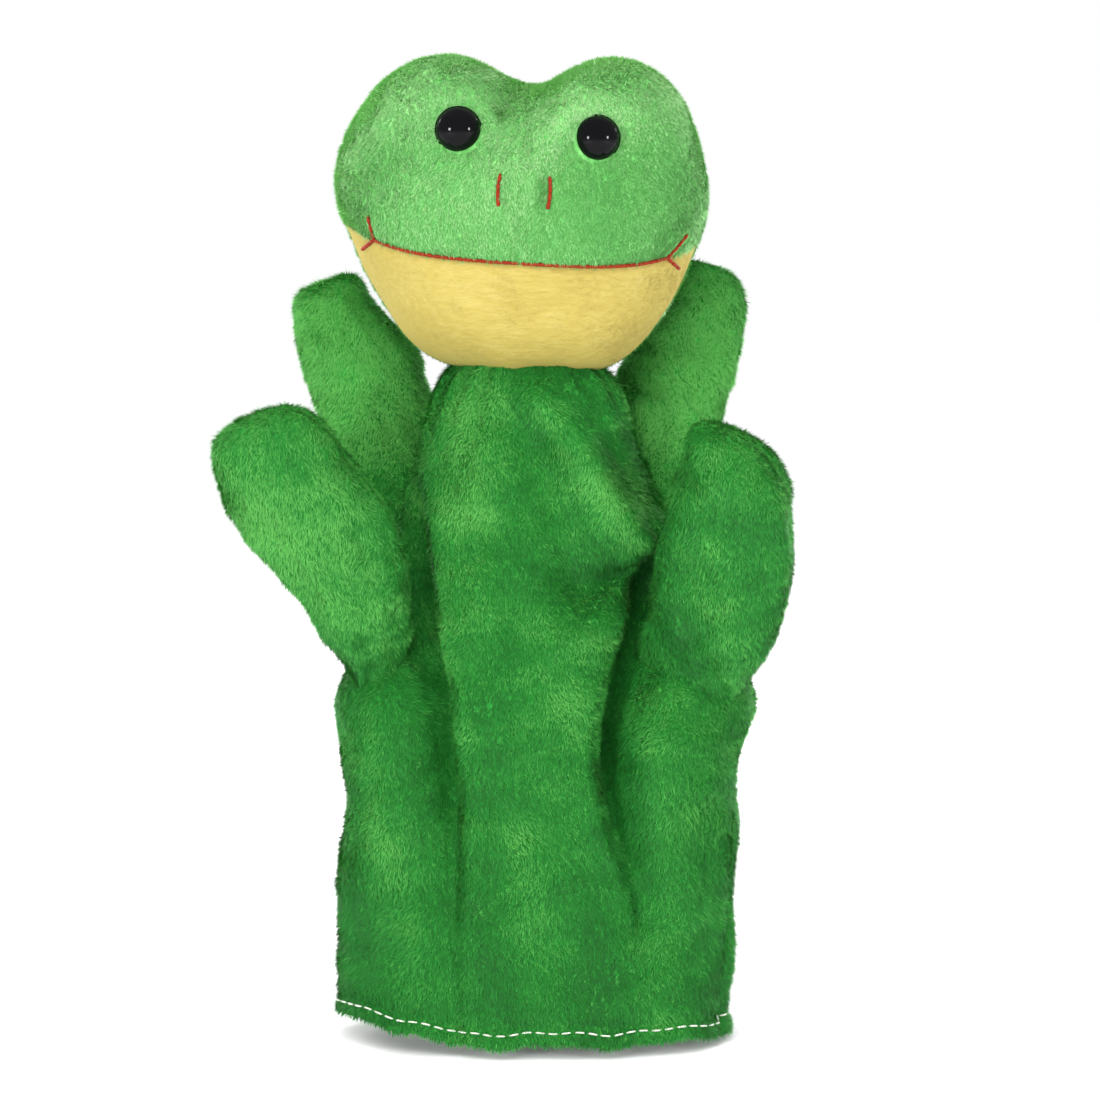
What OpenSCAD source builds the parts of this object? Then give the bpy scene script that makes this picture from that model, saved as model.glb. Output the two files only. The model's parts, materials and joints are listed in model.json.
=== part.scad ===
// Plush frog hand puppet: a five-finger cloth glove with a stuffed head.
// +Z is up and the puppet faces -Y. The origin is the centre of the hem opening, at the hem's edge.
// Right and left are the puppet's own: its right side is at -X.

/* [Cloth] */
// Thickness of the plush cloth, pile pressed flat
cloth_t = 2; // [1.6:0.1:2.4]
// Clearance between pieces that lie against each other
fit_gap = 0.3; // [0.2:0.05:0.5]
// Thickness of the sewing and embroidery threads
thread_t = 0.8; // [0.5:0.1:1]

/* [Body glove] */
// Width of the hem opening
hem_w = 108; // [88:1:132]
// Depth of the hem opening, front to back
hem_d = 58; // [46:1:70]
// Height of the straight band at the hem
hem_band_h = 12; // [9:1:16]
// Height of the white stitch line above the hem's edge
hem_stitch_z = 7; // [5:0.5:8]
// Height of the palm, where the legs branch off
palm_z = 96; // [80:1:116]
// Width of the palm
palm_w = 100; // [83:1:120]
// Depth of the palm
palm_d = 48; // [40:1:58]
// Height of the chest, where the arms branch off
chest_z = 126; // [120:1:134]
// Width of the chest
chest_w = 72; // [60:1:86]
// Depth of the chest
chest_d = 40; // [40:1:48]
// Height of the collar under the neck
collar_z = 156; // [152:1:158]
// Clearance between the collar and the neck tube that leans in it
collar_gap = 1; // [0.8:0.1:2]

/* [Neck] */
// Diameter of the neck tube
neck_w = 34; // [28:0.2:41]
// Height of the neck's top, sewn into the head
neck_top_z = 192; // [188:1:196]
// Height of the pivot that the neck leans about
lean_z = 158; // [154:1:162]
// Height of the pivot that the head nods about
nod_z = 186; // [182:1:190]

/* [Head] */
// Width of the head over the cheeks
head_w = 103; // [85:1:124]
// Height of the head from chin to the top of the eye bumps
head_h = 87; // [76:1:105]
// Depth of the head, muzzle to back
head_d = 62; // [54:1:75]
// How far the chin hangs below the pivot that the head nods about
chin_drop = 0.5; // [0:0.5:2]
// Sideways roll of the head at rest
head_roll = 3.5; // [0:0.5:5]
// Radius of each eye bump
bump_r = 21; // [18:0.5:23]
// Half the distance between the eye bumps
bump_x = 25; // [22:0.5:28]
// Depth of the valley between the eye bumps
valley_depth = 9; // [6:0.5:12]
// Height of the mouth seam from the head's centre
mouth_z = -11; // [-14:0.5:-8]

/* [Eyes] */
// Diameter of the plastic eye
eye_w = 12; // [10:0.1:14.4]
// Height of the eye's dome
eye_dome_h = 5; // [4:0.5:6]
// Half the distance between the eyes
eye_x = 18.4; // [16:0.2:21]
// Height of the eyes above the head's centre
eye_z = 22; // [18:0.5:25]
// Diameter of the eye's ribbed post
post_w = 4.4; // [3:0.2:5]
// Length of the eye's post
post_l = 11; // [9:0.5:13]
// Diameter of the lock washer
washer_w = 15; // [12:0.5:17]
// Thickness of the lock washer
washer_t = 1.6; // [1:0.1:2]

/* [Embroidery] */
// Half the width of the mouth, to the corner of the stitches
mouth_half_w = 39; // [34:0.5:42]
// Length of each stitched nostril
nostril_l = 8.5; // [6:0.5:10]
// Half the distance between the nostrils
nostril_x = 6.5; // [5:0.5:9]
// Height of the nostrils above the head's centre
nostril_z = 7; // [4:0.5:10]

/* [Finger pocket] */
// Inner diameter of the pocket in the head
pocket_w = 19; // [15.5:0.1:23]
// Depth of the pocket
pocket_l = 40; // [33:1:48]
// Wall of the pocket's lining
pocket_wall = 1.2; // [0.8:0.1:1.6]

/* [Limbs] */
// Length of each arm
arm_l = 76; // [63:1:92]
// Width of an arm at its middle
arm_w = 34; // [28:1:38]
// Width of an arm's tip
arm_tip_w = 25; // [21:1:30]
// Length of each leg
leg_l = 80; // [66:1:96]
// Width of a leg at its middle
leg_w = 37; // [30:1:42]
// Width of a leg's tip
leg_tip_w = 38; // [32:1:44]
// Width of a limb at its root
root_w = 26; // [22:1:28]
// Thickness of a limb
limb_t = 20; // [16.5:0.5:24]
// Radius of the ball of cloth that a limb bends on at its root
bend_r = 15; // [14:0.5:17]

/* [Hidden] */

right = -1;
left = 1;
front = -1;
back = 1;
big = 400;

// [outward lean, twist about its own length, forward pitch] of each limb at rest, in degrees
right_arm_pose = [18, 0, -17];
left_arm_pose = [16, 0, -19];
right_leg_pose = [26, 0, 18];
left_leg_pose = [16, -15, 20];

// Root of each limb, where it bends, on the chest and on the palm
arm_root = [chest_w / 2 - 2, 9, chest_z + 16];
leg_root = [palm_w / 2 - 5, -palm_d / 4, palm_z + 8];

head_fn = 28;
limb_fn = 20;
body_fn = 32;
small_fn = 16;

bump_c = [bump_x, 0, head_h / 2 - bump_r];
muzzle_r = 20;
muzzle_c = [0, muzzle_r - head_d / 2, -4];
cheek_r = 24;
cheek_c = [head_w / 2 - cheek_r, -2, 6];
chin_r = 18;
chin_c = [15, -4, chin_r - head_h / 2];
back_r = 26;
back_c = [0, head_d / 2 - back_r, 2];
crown_r = 19;
crown_c = [0, 2, head_h / 2 - valley_depth - crown_r];
head_seam_y = 2;
head_z = nod_z - chin_drop + head_h / 2;
neck_hole_r = neck_w / 2 + 4;
pocket_mouth_z = nod_z + neck_hole_r + fit_gap;
collar_d = neck_w + 2 * cloth_t + 2 * collar_gap;
collar_w = collar_d + 2;
collar_top_z = collar_z + 8;
neck_bottom_z = lean_z + 3;
root_open = 0.35;
root_neck = 0.5;
hole_draw = 1.2;
hole_flare = 1.15;
stuffing_inset = cloth_t + thread_t + 2 * fit_gap;

// Depth and direction of the eye's seat: the line along Y at (eye_x, eye_z) meets the round
// that joins the eye bump to the muzzle
bump_axis = (muzzle_c - bump_c) / norm(muzzle_c - bump_c);
eye_off = [eye_x, bump_c[1], eye_z] - bump_c;
eye_along = eye_off * bump_axis;
eye_qa = 1 - pow(bump_axis[1], 2);
eye_qb = -2 * eye_along * bump_axis[1];
eye_qc = eye_off * eye_off - pow(eye_along, 2) - pow(bump_r, 2);
eye_round_y = bump_c[1] + (-eye_qb - sqrt(pow(eye_qb, 2) - 4 * eye_qa * eye_qc)) / (2 * eye_qa);
eye_sink = 0.4;
eye_y = eye_round_y + eye_sink;
eye_toe_out = 6;

module half(side) {
  translate([side * big / 2, 0, 0]) cube(big, center = true);
}

module depth_side(side, y = 0) {
  translate([0, y + side * big / 2, 0]) cube(big, center = true);
}

module height_side(side, z) {
  translate([0, 0, z + side * big / 2]) cube(big, center = true);
}

module seam_slab(y = 0) {
  translate([0, y, 0]) cube([big, thread_t, big], center = true);
}

// ---- body glove ----

// A flat oval of the glove's cross-section, taken in by inset all round
module oval_slab(w, d, z, h, inset) {
  r = d / 2 - inset;
  translate([0, 0, z]) {
    for (s = [right, left]) translate([s * (w - d) / 2, 0, 0]) cylinder(r = r, h = h, $fn = body_fn);
    translate([-(w - d) / 2, -r, 0]) cube([w - d, 2 * r, h]);
  }
}

// Outside of the glove without its limbs, taken in by inset all round
module torso_form(inset, below = 0, above = 0) {
  thin = 0.1;
  oval_slab(hem_w, hem_d, -below, hem_band_h + below, inset);
  hull() {
    oval_slab(hem_w, hem_d, hem_band_h - thin, thin, inset);
    oval_slab(palm_w, palm_d, palm_z, thin, inset);
  }
  hull() {
    oval_slab(palm_w, palm_d, palm_z, thin, inset);
    oval_slab(chest_w, chest_d, chest_z, thin, inset);
  }
  hull() {
    oval_slab(chest_w, chest_d, chest_z, thin, inset);
    oval_slab(collar_w, collar_d, collar_z, thin, inset);
  }
  oval_slab(collar_w, collar_d, collar_z, collar_top_z - collar_z + above, inset);
}

// Round gap that a limb's ball of cloth turns in, drawn out and widened along the limb
module limb_hole(side, root, pose) {
  r = bend_r + fit_gap;
  l = hole_draw * bend_r;
  at_limb(side, root, pose) {
    sphere(r = r, $fn = body_fn);
    cylinder(r1 = r, r2 = hole_flare * r, h = l, $fn = body_fn);
    translate([0, 0, l]) sphere(r = hole_flare * r, $fn = body_fn);
  }
}

module limb_holes() {
  limb_hole(right, arm_root, right_arm_pose);
  limb_hole(left, arm_root, left_arm_pose);
  limb_hole(right, leg_root, right_leg_pose);
  limb_hole(left, leg_root, left_leg_pose);
}

module torso_half(side) {
  color("forestgreen") difference() {
    intersection() {
      torso_form(0);
      depth_side(side);
    }
    torso_form(cloth_t, below = 1, above = 1);
    limb_holes();
  }
}

module torso_seam_thread() {
  color("green") difference() {
    intersection() {
      torso_form(cloth_t + fit_gap / 2);
      seam_slab();
    }
    torso_form(cloth_t + fit_gap / 2 + thread_t, below = 1, above = 1);
    limb_holes();
  }
}

// White running stitch round the hem, on the cloth's outside
module hem_thread() {
  pitch = 4;
  stitch_l = 2.6;
  stitch_r = thread_t / 2;
  r = hem_d / 2 + stitch_r + fit_gap / 4;
  flat_w = hem_w - hem_d;
  n_flat = floor(flat_w / pitch);
  n_round = floor(180 / (pitch / r * 180 / PI));
  color("white") translate([0, 0, hem_stitch_z]) for (s = [front, back]) {
    for (i = [0 : n_flat - 1]) {
      translate([(i - (n_flat - 1) / 2) * pitch, s * r, 0]) rotate([0, 90, 0])
        cylinder(r = stitch_r, h = stitch_l, center = true, $fn = small_fn);
    }
    for (i = [0 : n_round - 1]) {
      translate([s * flat_w / 2, 0, 0]) rotate([0, 0, s * 90 - 90 + (i + 0.5) * 180 / n_round - 90])
        translate([r, 0, 0]) rotate([90, 0, 0])
        cylinder(r = stitch_r, h = stitch_l, center = true, $fn = small_fn);
    }
  }
}

// ---- neck ----

module neck_half(side) {
  color("forestgreen") intersection() {
    difference() {
      translate([0, 0, neck_bottom_z]) cylinder(d = neck_w, h = neck_top_z - neck_bottom_z, $fn = 48);
      translate([0, 0, neck_bottom_z - 1])
        cylinder(d = neck_w - 2 * cloth_t, h = neck_top_z - neck_bottom_z + 2, $fn = 48);
    }
    depth_side(side);
  }
}

// Gathering thread that draws the glove's neck in under the head
module neck_thread() {
  color("darkgreen") translate([0, 0, nod_z]) rotate_extrude($fn = 48)
    translate([(neck_w + thread_t) / 2 + fit_gap / 4, 0]) circle(d = thread_t, $fn = 16);
}

// ---- head ----

// Half of the head's outside, taken in by inset all round
module head_half(side, inset) {
  mirror([side == right ? 1 : 0, 0, 0]) hull() {
    translate(bump_c) sphere(r = bump_r - inset, $fn = head_fn);
    translate(cheek_c) sphere(r = cheek_r - inset, $fn = head_fn);
    for (x = [0, 1]) {
      translate([x * chin_c[0], chin_c[1], chin_c[2]]) sphere(r = chin_r - inset, $fn = head_fn);
    }
    translate(muzzle_c) sphere(r = muzzle_r - inset, $fn = head_fn);
    translate(back_c) sphere(r = back_r - inset, $fn = head_fn);
    translate(crown_c) sphere(r = crown_r - inset, $fn = head_fn);
  }
}

// Puts the head's own frame in place: its centre, rolled about the depth axis
module at_head() {
  translate([0, 0, head_z]) rotate([0, head_roll, 0]) children();
}

module at_eye(side) {
  translate([side * eye_x, eye_y, eye_z]) rotate([90, 0, side * eye_toe_out]) children();
}

module neck_hole() {
  translate([0, 0, nod_z]) sphere(r = neck_hole_r, $fn = 48);
}

module head_shell(side) {
  difference() {
    intersection() {
      head_half(side, 0);
      half(side);
    }
    head_half(side, cloth_t);
  }
}

module face_panel(side) {
  color("limegreen") at_head() difference() {
    union() {
      intersection() {
        head_shell(side);
        depth_side(front, head_seam_y);
        height_side(1, mouth_z);
      }
      // cloth pressed flat between the eye and its washer
      intersection() {
        at_eye(side) translate([0, 0, -cloth_t])
          cylinder(d = washer_w + 2 * cloth_t, h = 2 * cloth_t, $fn = 48);
        head_half(side, 0);
      }
    }
    at_eye(side) translate([0, 0, -cloth_t - washer_t - 2 * fit_gap])
      cylinder(d = washer_w + 2 * fit_gap, h = washer_t + 2 * fit_gap, $fn = 48);
    at_eye(side) cylinder(d = eye_w + 2 * fit_gap, h = 30, $fn = 48);
    at_eye(side) translate([0, 0, -20]) cylinder(d = post_w + 2 * fit_gap, h = 30, $fn = 48);
  }
}

module chin_panel() {
  color("khaki") difference() {
    at_head() intersection() {
      union() for (s = [right, left]) head_shell(s);
      depth_side(front, head_seam_y);
      height_side(-1, mouth_z);
    }
    neck_hole();
  }
}

module head_back(side) {
  color("limegreen") difference() {
    at_head() intersection() {
      head_shell(side);
      depth_side(back, head_seam_y);
    }
    neck_hole();
  }
}

// Thread inside the seam between the face and the back of the head
module head_seam_thread() {
  color("green") difference() {
    at_head() intersection() {
      union() for (s = [right, left]) intersection() {
        head_half(s, cloth_t + fit_gap / 2);
        half(s);
      }
      seam_slab(head_seam_y);
    }
    at_head() for (s = [right, left]) head_half(s, cloth_t + fit_gap / 2 + thread_t);
    neck_hole();
  }
}

module head_stuffing() {
  color("ivory") difference() {
    at_head() union() for (s = [right, left]) intersection() {
      head_half(s, stuffing_inset);
      half(s);
    }
    neck_hole();
    translate([0, 0, nod_z]) cylinder(d = pocket_w + 2 * pocket_wall + 2 * fit_gap,
      h = pocket_mouth_z - nod_z + pocket_l + pocket_wall + fit_gap, $fn = 48);
    at_head() for (s = [right, left]) at_eye(s) {
      translate([0, 0, -cloth_t - fit_gap])
        cylinder(d = washer_w + 2 * cloth_t + 2 * fit_gap, h = 30, $fn = 48);
      translate([0, 0, -cloth_t - washer_t - 2 * fit_gap])
        cylinder(d = washer_w + 2 * fit_gap, h = 30, $fn = 48);
      translate([0, 0, -post_l - fit_gap]) cylinder(d = post_w + 2 * fit_gap, h = 30, $fn = 48);
    }
  }
}

// Lining sleeve, closed at its top, that a finger or a stand's rod goes into
module finger_pocket() {
  color("darkseagreen") translate([0, 0, pocket_mouth_z]) difference() {
    cylinder(d = pocket_w + 2 * pocket_wall, h = pocket_l + pocket_wall, $fn = 48);
    translate([0, 0, -1]) cylinder(d = pocket_w, h = pocket_l + 1, $fn = 48);
  }
}

// Moulded eye: a dome, a thin rim and a ribbed post
module eye(side) {
  dome_r = (pow(eye_w / 2, 2) + pow(eye_dome_h, 2)) / (2 * eye_dome_h);
  rim_h = 0.8;
  rib_pitch = 2;
  color("black") at_head() at_eye(side) {
    translate([0, 0, fit_gap / 4]) cylinder(d = eye_w, h = rim_h, $fn = body_fn);
    intersection() {
      translate([0, 0, rim_h + eye_dome_h - dome_r]) sphere(r = dome_r, $fn = body_fn);
      translate([0, 0, rim_h]) cylinder(d = eye_w, h = eye_dome_h + 1, $fn = body_fn);
    }
    translate([0, 0, -post_l]) cylinder(d = post_w - 0.8, h = post_l + rim_h, $fn = small_fn);
    for (z = [-post_l + 1 : rib_pitch : -cloth_t - washer_t - 1]) {
      translate([0, 0, z]) cylinder(d = post_w, h = rib_pitch / 3, $fn = small_fn);
    }
  }
}

module eye_washer(side) {
  color("gainsboro") at_head() at_eye(side) translate([0, 0, -cloth_t - washer_t - fit_gap]) difference() {
    cylinder(d = washer_w, h = washer_t, $fn = 48);
    translate([0, 0, -1]) cylinder(d = post_w + fit_gap, h = washer_t + 2, $fn = 48);
  }
}

// Thread laid on the face: the part of a thin skin over the head that lies behind a flat shape
module embroidery() {
  color("firebrick") at_head() intersection() {
    difference() {
      union() for (s = [right, left]) intersection() {
        head_half(s, -thread_t - fit_gap / 4);
        half(s);
      }
      union() for (s = [right, left]) head_half(s, -fit_gap / 4);
    }
    depth_side(front, head_seam_y - 1);
    rotate([90, 0, 0]) linear_extrude(big) children();
  }
}

module stroke(a, b) {
  d = b - a;
  translate((a + b) / 2) rotate(atan2(d[1], d[0])) square([norm(d) + thread_t, 1.5 * thread_t], center = true);
}

module nostril_stitch(side) {
  embroidery() stroke([side * nostril_x, nostril_z - nostril_l / 2], [side * nostril_x, nostril_z + nostril_l / 2]);
}

module mouth_stitch(side) {
  gap_at_centre = 1.2;
  embroidery() stroke([side * gap_at_centre, mouth_z], [side * mouth_half_w, mouth_z]);
}

// The fork at the mouth's corner: one stitch up the cheek and one down
module cheek_stitch(side) {
  corner = mouth_half_w + thread_t + fit_gap;
  embroidery() {
    stroke([side * corner, mouth_z + thread_t], [side * (corner + 3.5), mouth_z + 8]);
    stroke([side * corner, mouth_z - thread_t], [side * (corner + 3), mouth_z - 4]);
  }
}

// ---- limbs ----

// Outside of a limb standing on its root, taken in by inset all round
module limb_form(l, w, tip_w, inset) {
  r = limb_t / 2;
  stations = [[0, root_w], [0.5 * l, w], [l - tip_w / 2, tip_w]];
  hull() {
    for (station = stations) {
      for (s = [right, left]) {
        translate([s * (station[1] / 2 - r), 0, station[0]]) sphere(r = r - inset, $fn = limb_fn);
      }
    }
    // rounds the tip over to the limb's full length
    translate([0, 0, l - 0.7 * r]) sphere(r = 0.7 * r - inset, $fn = limb_fn);
  }
}

// Everything below the root's open end, and what its ball of cloth may not reach past
module root_cut() {
  height_side(-1, -root_open * bend_r);
  difference() {
    height_side(-1, root_neck * bend_r);
    sphere(r = bend_r, $fn = body_fn);
  }
}

module limb_half(l, w, tip_w, side) {
  color("forestgreen") difference() {
    intersection() {
      limb_form(l, w, tip_w, 0);
      depth_side(side);
    }
    limb_form(l, w, tip_w, cloth_t);
    root_cut();
  }
}

module limb_thread(l, w, tip_w) {
  color("green") difference() {
    intersection() {
      limb_form(l, w, tip_w, cloth_t + fit_gap / 2);
      seam_slab();
    }
    limb_form(l, w, tip_w, cloth_t + fit_gap / 2 + thread_t);
    root_cut();
  }
}

module at_limb(side, root, pose) {
  translate([side * root[0], root[1], root[2]])
    rotate([0, side * pose[0], 0]) rotate([0, 0, pose[1]]) rotate([pose[2], 0, 0]) children();
}

module arm_piece(side, pose, piece) {
  at_limb(side, arm_root, pose) {
    if (piece == "front") limb_half(arm_l, arm_w, arm_tip_w, front);
    if (piece == "back") limb_half(arm_l, arm_w, arm_tip_w, back);
    if (piece == "thread") limb_thread(arm_l, arm_w, arm_tip_w);
  }
}

module leg_piece(side, pose, piece) {
  at_limb(side, leg_root, pose) {
    if (piece == "front") limb_half(leg_l, leg_w, leg_tip_w, front);
    if (piece == "back") limb_half(leg_l, leg_w, leg_tip_w, back);
    if (piece == "thread") limb_thread(leg_l, leg_w, leg_tip_w);
  }
}

torso_half(front);  // torso_front
torso_half(back);  // torso_back
torso_seam_thread();
hem_thread();
neck_half(front);  // neck_front
neck_half(back);  // neck_back
neck_thread();
face_panel(right);  // face_panel_right
face_panel(left);  // face_panel_left
chin_panel();
head_back(right);  // head_back_right
head_back(left);  // head_back_left
head_seam_thread();
head_stuffing();
finger_pocket();
eye(right);  // eye_right
eye(left);  // eye_left
eye_washer(right);  // eye_washer_right
eye_washer(left);  // eye_washer_left
nostril_stitch(right);  // nostril_stitch_right
nostril_stitch(left);  // nostril_stitch_left
mouth_stitch(right);  // mouth_stitch_right
mouth_stitch(left);  // mouth_stitch_left
cheek_stitch(right);  // cheek_stitch_right
cheek_stitch(left);  // cheek_stitch_left
arm_piece(right, right_arm_pose, "front");  // right_arm_front
arm_piece(right, right_arm_pose, "back");  // right_arm_back
arm_piece(right, right_arm_pose, "thread");  // right_arm_thread
arm_piece(left, left_arm_pose, "front");  // left_arm_front
arm_piece(left, left_arm_pose, "back");  // left_arm_back
arm_piece(left, left_arm_pose, "thread");  // left_arm_thread
leg_piece(right, right_leg_pose, "front");  // right_leg_front
leg_piece(right, right_leg_pose, "back");  // right_leg_back
leg_piece(right, right_leg_pose, "thread");  // right_leg_thread
leg_piece(left, left_leg_pose, "front");  // left_leg_front
leg_piece(left, left_leg_pose, "back");  // left_leg_back
leg_piece(left, left_leg_pose, "thread");  // left_leg_thread
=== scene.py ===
import json

import bmesh
import bpy
import numpy as np
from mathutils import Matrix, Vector


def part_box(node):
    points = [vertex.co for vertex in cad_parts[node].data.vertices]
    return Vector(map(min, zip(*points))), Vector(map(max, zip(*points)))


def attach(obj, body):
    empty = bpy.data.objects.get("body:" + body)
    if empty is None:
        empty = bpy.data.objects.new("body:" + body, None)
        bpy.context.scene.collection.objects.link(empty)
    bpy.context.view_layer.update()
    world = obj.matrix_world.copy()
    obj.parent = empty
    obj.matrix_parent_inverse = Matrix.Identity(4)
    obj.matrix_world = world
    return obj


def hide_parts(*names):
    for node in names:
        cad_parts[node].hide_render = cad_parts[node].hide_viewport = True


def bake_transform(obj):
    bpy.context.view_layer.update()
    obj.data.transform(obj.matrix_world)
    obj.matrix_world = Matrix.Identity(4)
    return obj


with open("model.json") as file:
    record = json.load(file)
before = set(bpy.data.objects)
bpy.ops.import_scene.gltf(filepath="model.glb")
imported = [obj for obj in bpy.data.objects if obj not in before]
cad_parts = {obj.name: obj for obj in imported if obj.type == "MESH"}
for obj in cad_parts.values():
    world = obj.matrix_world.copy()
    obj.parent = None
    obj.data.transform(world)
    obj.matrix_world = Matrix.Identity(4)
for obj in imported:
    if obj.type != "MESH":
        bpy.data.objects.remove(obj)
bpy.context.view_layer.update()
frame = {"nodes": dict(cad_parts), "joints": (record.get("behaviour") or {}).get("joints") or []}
mm = 0.001
joints = {j["name"]: j for j in frame["joints"]}


def pivot(joint):
    # where a joint turns, in metres
    return np.array(joints[joint]["pos_m"], float)


def boxMiddle(node):
    low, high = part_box(node)
    return (np.array(low) + np.array(high)) / 2


def ease(low, high, x):
    # 0 below low, 1 above high, a smooth step between them
    t = np.clip((x - low) / (high - low), 0, 1)
    return t * t * (3 - 2 * t)


def bell(x, middle, width):
    # a bell curve, 1 at its middle
    return np.exp(-((x - middle) / width) ** 2 / 2)


def through(x, xs, ys):
    # a smooth curve through a few points: cubic pieces whose slopes are the neighbours' mean slopes
    xs, ys = np.array(xs, float), np.array(ys, float)
    slope = np.gradient(ys, xs)
    x = np.clip(x, xs[0], xs[-1])
    k = np.clip(np.searchsorted(xs, x, side="right") - 1, 0, len(xs) - 2)
    h = xs[k + 1] - xs[k]
    t = (x - xs[k]) / h
    start = (1 + 2 * t) * (1 - t) ** 2 * ys[k] + t * (1 - t) ** 2 * h * slope[k]
    return start + t * t * (3 - 2 * t) * ys[k + 1] + t * t * (t - 1) * h * slope[k + 1]


def crease(x, z, a, b, width, deep):
    # a groove of the given depth along the line from a to b, a bell across it and fading at its ends
    a, b = np.array(a, float), np.array(b, float)
    run = b - a
    share = ((x - a[0]) * run[0] + (z - a[1]) * run[1]) / (run @ run)
    inside = np.clip(share, 0, 1)
    off = np.hypot(x - a[0] - inside * run[0], z - a[1] - inside * run[1])
    return -deep * bell(off, 0, width)


def drift(points, size, seed, waves=9):
    # soft noise around 0: a sum of sine waves in seeded directions, each about size long
    rng = np.random.default_rng(seed)
    way = rng.normal(size=(waves, 3))
    way *= 2 * np.pi / size * rng.uniform(0.6, 1.5, (waves, 1)) / np.linalg.norm(way, axis=1, keepdims=True)
    return np.sin(points @ way.T + rng.uniform(0, 2 * np.pi, waves)).sum(-1) / np.sqrt(waves)


def unit(v):
    # each vector divided by its length
    return v / np.maximum(np.linalg.norm(v, axis=-1, keepdims=True), 1e-12)


def gridNormals(points):
    # normals of a grid of points: the cross product of its two directions
    along = np.gradient(points, axis=0)
    across = np.gradient(points, axis=1)
    return unit(np.cross(along, across))


def addObject(name, data):
    piece = bpy.data.objects.new(name, data)
    bpy.context.scene.collection.objects.link(piece)
    return piece


def newObject(name, points, faces, materials, caps=()):
    # a smooth mesh from points and faces; caps are its faces with more than four corners
    mesh = bpy.data.meshes.new(name)
    mesh.from_pydata(points.tolist(), [], faces.tolist() + list(caps))
    mesh.polygons.foreach_set("use_smooth", np.ones(len(mesh.polygons), bool))
    for material in materials:
        mesh.materials.append(material)
    return addObject(name, mesh)


def joinAs(name, parts):
    # makes one piece of several
    if len(parts) > 1:
        with bpy.context.temp_override(active_object=parts[0], selected_editable_objects=parts):
            bpy.ops.object.join()
    parts[0].name = name
    return parts[0]


def gridFaces(rows, columns, wrap=False):
    # quads between neighbouring points of a rows x columns grid; wrap joins the last column to the first
    i, j = np.meshgrid(np.arange(rows - 1), np.arange(columns if wrap else columns - 1), indexing="ij")
    k = (j + 1) % columns
    ring = [i * columns + j, i * columns + k, (i + 1) * columns + k, (i + 1) * columns + j]
    return np.stack(ring, -1).reshape(-1, 4)


def weld(piece, distance=0.02 * mm):
    # merges points that lie on each other, which closes poles and seams
    work = bmesh.new()
    work.from_mesh(piece.data)
    bmesh.ops.remove_doubles(work, verts=work.verts, dist=distance)
    work.to_mesh(piece.data)
    work.free()


def sheetOf(name, points, materials, outside, wall=1.6 * mm, keep=None):
    # A cloth panel from a grid of points, facing the way of outside, with its wall grown inwards.
    faces = gridFaces(*points.shape[:2])
    if (gridNormals(points) * outside).sum() > 0:
        faces = faces[:, ::-1]
    flat = points.reshape(-1, 3)
    if keep is not None:
        faces = faces[keep.ravel()[faces].all(1)]
    piece = newObject(name, flat, faces, materials)
    weld(piece)
    thick = piece.modifiers.new("wall", "SOLIDIFY")
    thick.thickness = wall
    thick.offset = -1
    thick.material_offset = 1
    thick.material_offset_rim = 1
    return piece


def declareSheet(points):
    # works out the area of the grid's cells and returns nothing
    a, b, c, d = points[:-1, :-1], points[:-1, 1:], points[1:, 1:], points[1:, :-1]
    area = np.linalg.norm(np.cross(c - a, d - b), axis=-1).sum() / 2


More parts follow.
